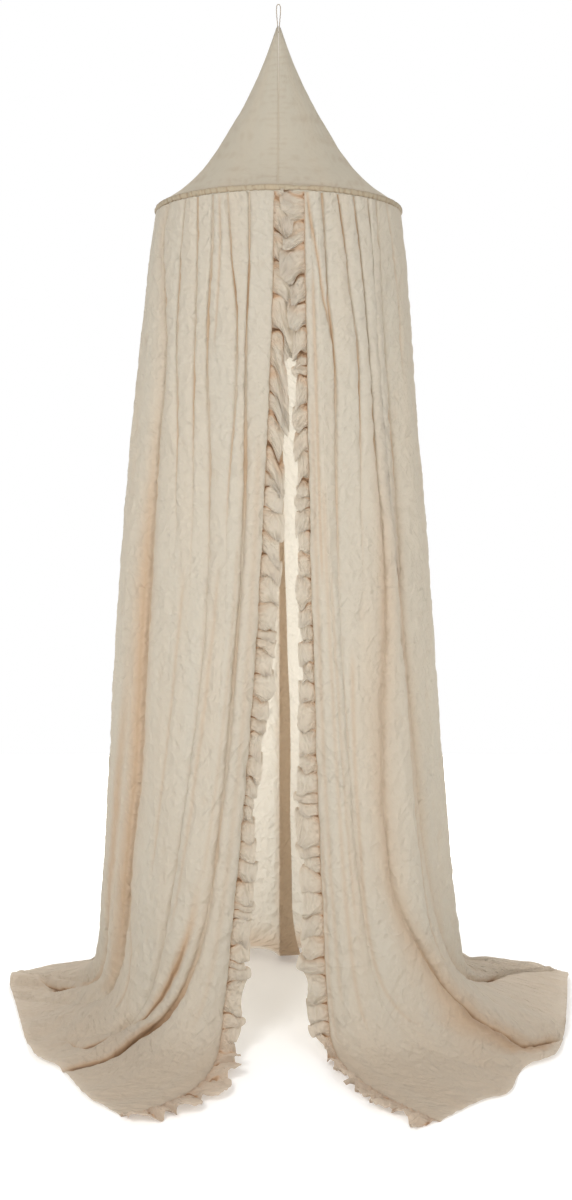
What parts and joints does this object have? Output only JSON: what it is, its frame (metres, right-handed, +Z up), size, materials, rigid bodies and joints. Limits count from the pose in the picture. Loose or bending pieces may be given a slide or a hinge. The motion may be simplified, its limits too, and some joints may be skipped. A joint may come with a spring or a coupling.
{
  "type": "mosquito net canopy with hoop",
  "caption": "Hanging bed canopy: a cone roof over a hoop and two long ruffled cotton curtains that part at the front and pool on the floor.",
  "frame": {"origin": "top of the inside of the hanging loop's eye, where the ceiling hook bears; the floor that the cloth pools on is at z = -2.000 m", "axes": "+Z up, -Y towards the opening between the curtains, +X to the right of someone who faces the opening"},
  "size_m": [1.1609, 1.1681, 2.0015],
  "materials": {
    "cotton": "washed and crinkled, matt",
    "cotton_trim": "washed and gathered, matt",
    "steel_wire": "plain wire"
  },
  "bodies": {
    "root": {"hang_loop": "cotton_trim", "roof_left": "cotton", "roof_right": "cotton", "hoop": "steel_wire", "hoop_casing": "cotton_trim", "curtain_left": "cotton", "curtain_right": "cotton", "ruffle_left": "cotton_trim", "ruffle_right": "cotton_trim"}
  },
  "joints": []
}
